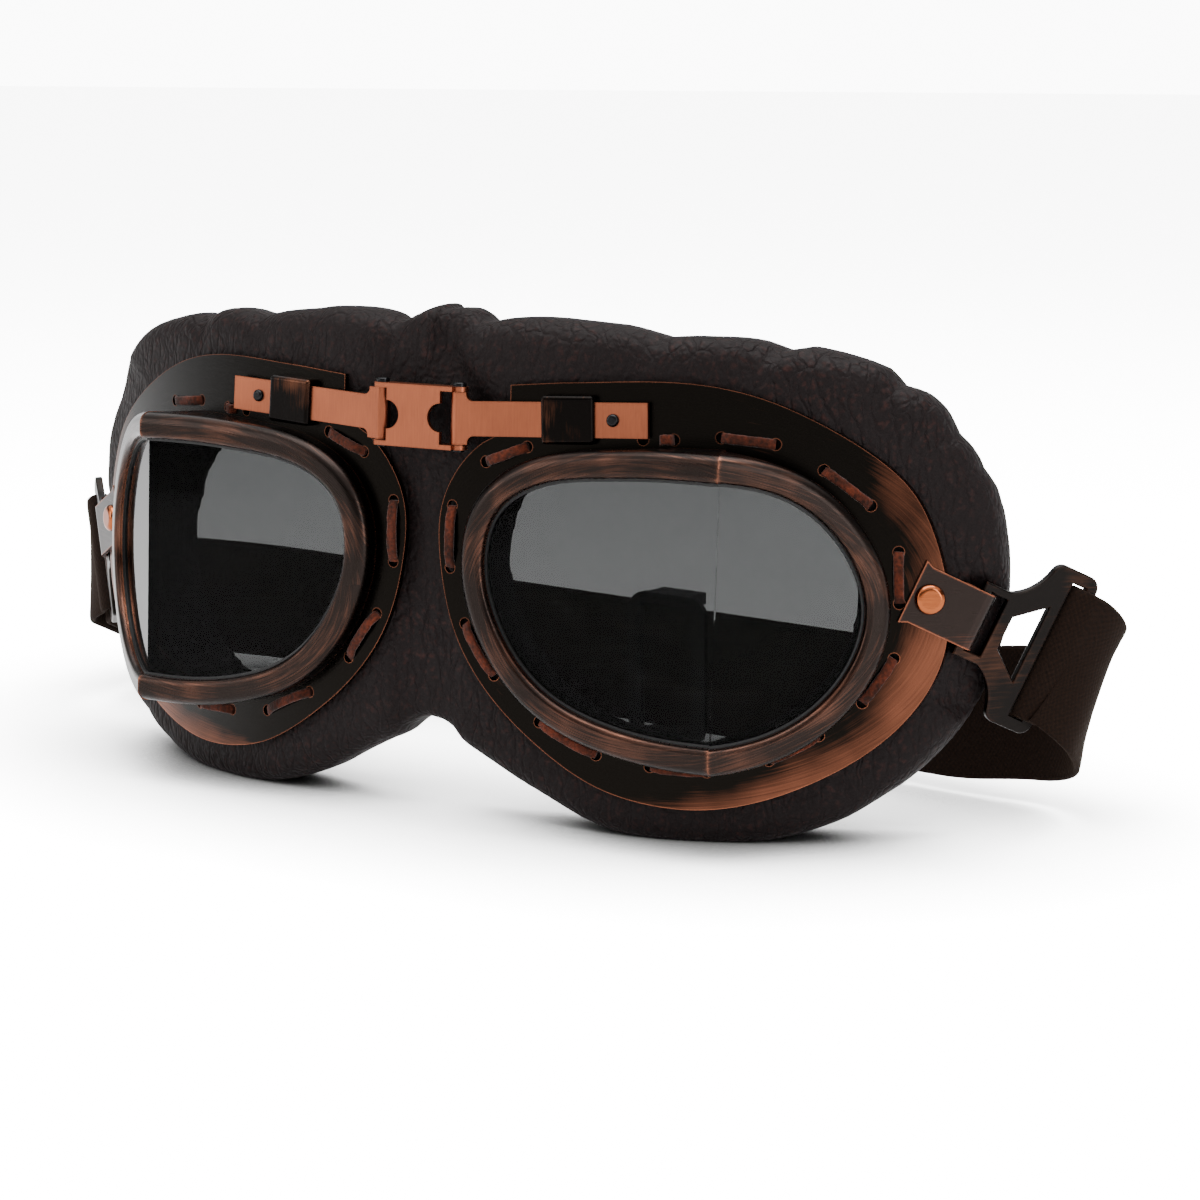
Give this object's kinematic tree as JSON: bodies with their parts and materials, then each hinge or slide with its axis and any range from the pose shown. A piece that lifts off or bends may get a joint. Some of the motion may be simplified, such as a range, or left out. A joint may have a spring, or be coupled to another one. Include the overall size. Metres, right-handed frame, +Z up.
{
  "type": "aviator flying goggles",
  "caption": "Flying goggles with angled two-pane smoke lenses, antique copper frames laced to a padded leather-look face cushion, and an elastic head strap on swinging rings.",
  "frame": {"origin": "middle of the bounding box, on the floor under the goggles", "axes": "+X to the right of the picture's viewer along the goggles' width, -Y the way the lenses face, +Z up"},
  "size_m": [0.2452, 0.101, 0.0973],
  "materials": {
    "rim_copper": "antique copper plate, dark hollows, rubbed ridges",
    "plate_copper": "dark antique copper plate",
    "bright_copper": "satin light copper plate",
    "tab_copper": "satin copper plate, brushed",
    "ring_copper": "antique copper plate, worn dark",
    "rivet_copper": "polished copper dome",
    "black_steel": "gloss black",
    "lens_smoke": "clear smoke grey",
    "gasket_rubber": "matt black",
    "retainer_black": "matt black",
    "lacing_suede": "napped suede thong",
    "cushion_leather": "pebbled soft-touch imitation leather over foam",
    "strap_elastic": "velvety knitted elastic",
    "slider_plastic": "moulded black plastic"
  },
  "bodies": {
    "link": {"bridge_link": "bright_copper", "right_hinge_pin": "black_steel", "left_hinge_pin": "black_steel", "nose_pad": "cushion_leather", "head_strap": "strap_elastic"},
    "right_arm": {"right_bridge_arm": "bright_copper", "right_stop_stud": "black_steel"},
    "left_arm": {"left_bridge_arm": "bright_copper", "left_stop_stud": "black_steel"},
    "right_frame": {"right_rim": "rim_copper", "right_lens_gasket": "gasket_rubber", "right_front_lens": "lens_smoke", "right_side_lens": "lens_smoke", "right_lens_retainer": "retainer_black", "right_frame_plate": "plate_copper", "right_lacing": "lacing_suede", "right_arm_keeper": "plate_copper", "right_strap_tab": "tab_copper", "right_tab_rivet": "rivet_copper", "right_face_pad": "cushion_leather"},
    "left_frame": {"left_rim": "rim_copper", "left_lens_gasket": "gasket_rubber", "left_front_lens": "lens_smoke", "left_side_lens": "lens_smoke", "left_lens_retainer": "retainer_black", "left_frame_plate": "plate_copper", "left_lacing": "lacing_suede", "left_arm_keeper": "plate_copper", "left_strap_tab": "tab_copper", "left_tab_rivet": "rivet_copper", "left_face_pad": "cushion_leather"},
    "right_ring": {"right_strap_ring": "ring_copper"},
    "left_ring": {"left_strap_ring": "ring_copper"},
    "slider": {"strap_slider": "slider_plastic"}
  },
  "joints": [
    {"name": "right_arm_hinge", "type": "hinge", "parent": "link", "child": "right_arm", "pos_m": [0.0085, -0.04415, 0.07733], "axis": [0, 0.0628, 0.998], "range_deg": [-8, 12], "deforming": ["nose_pad", "head_strap"]},
    {"name": "left_arm_hinge", "type": "hinge", "parent": "link", "child": "left_arm", "pos_m": [-0.0085, -0.04415, 0.07733], "axis": [0, -0.0628, -0.998], "range_deg": [-8, 12], "deforming": ["nose_pad", "head_strap"]},
    {"name": "right_frame_slide", "type": "slide", "parent": "right_arm", "child": "right_frame", "axis": [0.9876, 0.1535, 0.0323], "range_m": [-0.0015, 0.002], "deforming": ["nose_pad", "head_strap"]},
    {"name": "left_frame_slide", "type": "slide", "parent": "left_arm", "child": "left_frame", "axis": [-0.9876, 0.1535, 0.0323], "range_m": [-0.0015, 0.002], "deforming": ["nose_pad", "head_strap"]},
    {"name": "right_ring_hinge", "type": "hinge", "parent": "right_frame", "child": "right_ring", "pos_m": [0.09961, -0.01392, 0.04269], "axis": [0.3359, 0.272, 0.9018], "range_deg": [-35, 8], "deforming": ["head_strap"]},
    {"name": "left_ring_hinge", "type": "hinge", "parent": "left_frame", "child": "left_ring", "pos_m": [-0.09961, -0.01392, 0.04269], "axis": [0.3359, -0.272, -0.9018], "range_deg": [-35, 8], "deforming": ["head_strap"]},
    {"name": "slider_slide", "type": "slide", "parent": "link", "child": "slider", "axis": [0.9877, -0.1564, 0], "range_m": [-0.015, 0.015], "deforming": ["head_strap"]}
  ]
}
